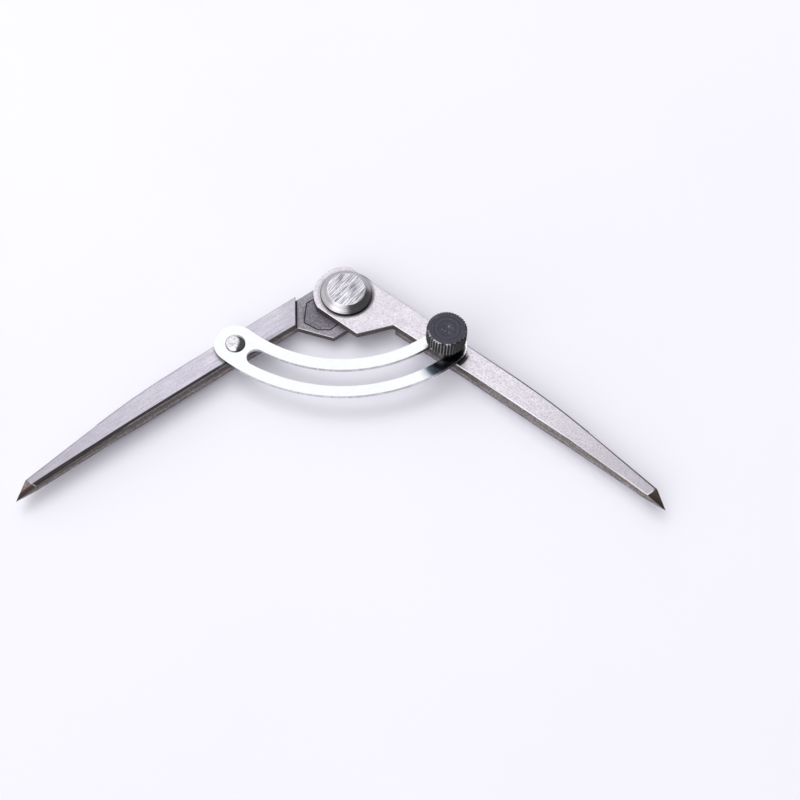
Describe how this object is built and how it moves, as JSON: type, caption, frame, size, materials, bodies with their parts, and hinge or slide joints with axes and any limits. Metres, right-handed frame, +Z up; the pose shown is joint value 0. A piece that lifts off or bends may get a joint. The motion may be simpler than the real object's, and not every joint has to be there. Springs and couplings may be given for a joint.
{
  "type": "wing divider",
  "caption": "Steel wing divider: two pointed legs on a riveted half-lap hinge, held open by a slotted wing arc and a knurled thumb screw.",
  "frame": {"origin": "on the hinge axis, at the flat underside of the lower hinge cap", "axes": "+Z up along the hinge axis, through the upper cap; the legs open towards -Y, the left leg towards -X and the right leg towards +X"},
  "size_m": [0.1836, 0.0803, 0.0183],
  "materials": {
    "leg_steel": "satin ground steel with fine grain along the leg",
    "hinge_steel": "coarsely ground flat, polished bevel",
    "bright_plate": "bright zinc or nickel plated strip",
    "black_oxide": "black oxide on turned and knurled steel"
  },
  "bodies": {
    "left_leg": {"left_leg": "leg_steel", "hinge_pin": "hinge_steel", "hinge_cap_bottom": "hinge_steel", "hinge_cap_top": "hinge_steel", "wing_rivet": "bright_plate"},
    "right_leg": {"right_leg": "leg_steel"},
    "wing": {"wing_arc": "bright_plate"},
    "thumb_screw": {"thumb_screw": "black_oxide"}
  },
  "joints": [
    {"name": "leg_hinge", "type": "hinge", "parent": "left_leg", "child": "right_leg", "pos_m": [0, 0, 0.0048], "axis": [0, 0, 1], "range_deg": [-104, 1]},
    {"name": "wing_pivot", "type": "hinge", "parent": "left_leg", "child": "wing", "pos_m": [-0.03245, -0.01916, 0.0079], "axis": [0, 0, 1], "range_deg": [-11.1, 0.2]},
    {"name": "screw_turn", "type": "hinge", "parent": "right_leg", "child": "thumb_screw", "pos_m": [0.02958, -0.01878, 0.0079], "axis": [0, 0, 1], "range_deg": [0, 540]}
  ],
  "couplings": [
    {"joint": "wing_pivot", "follows": "leg_hinge", "ratio": 0.105}
  ]
}
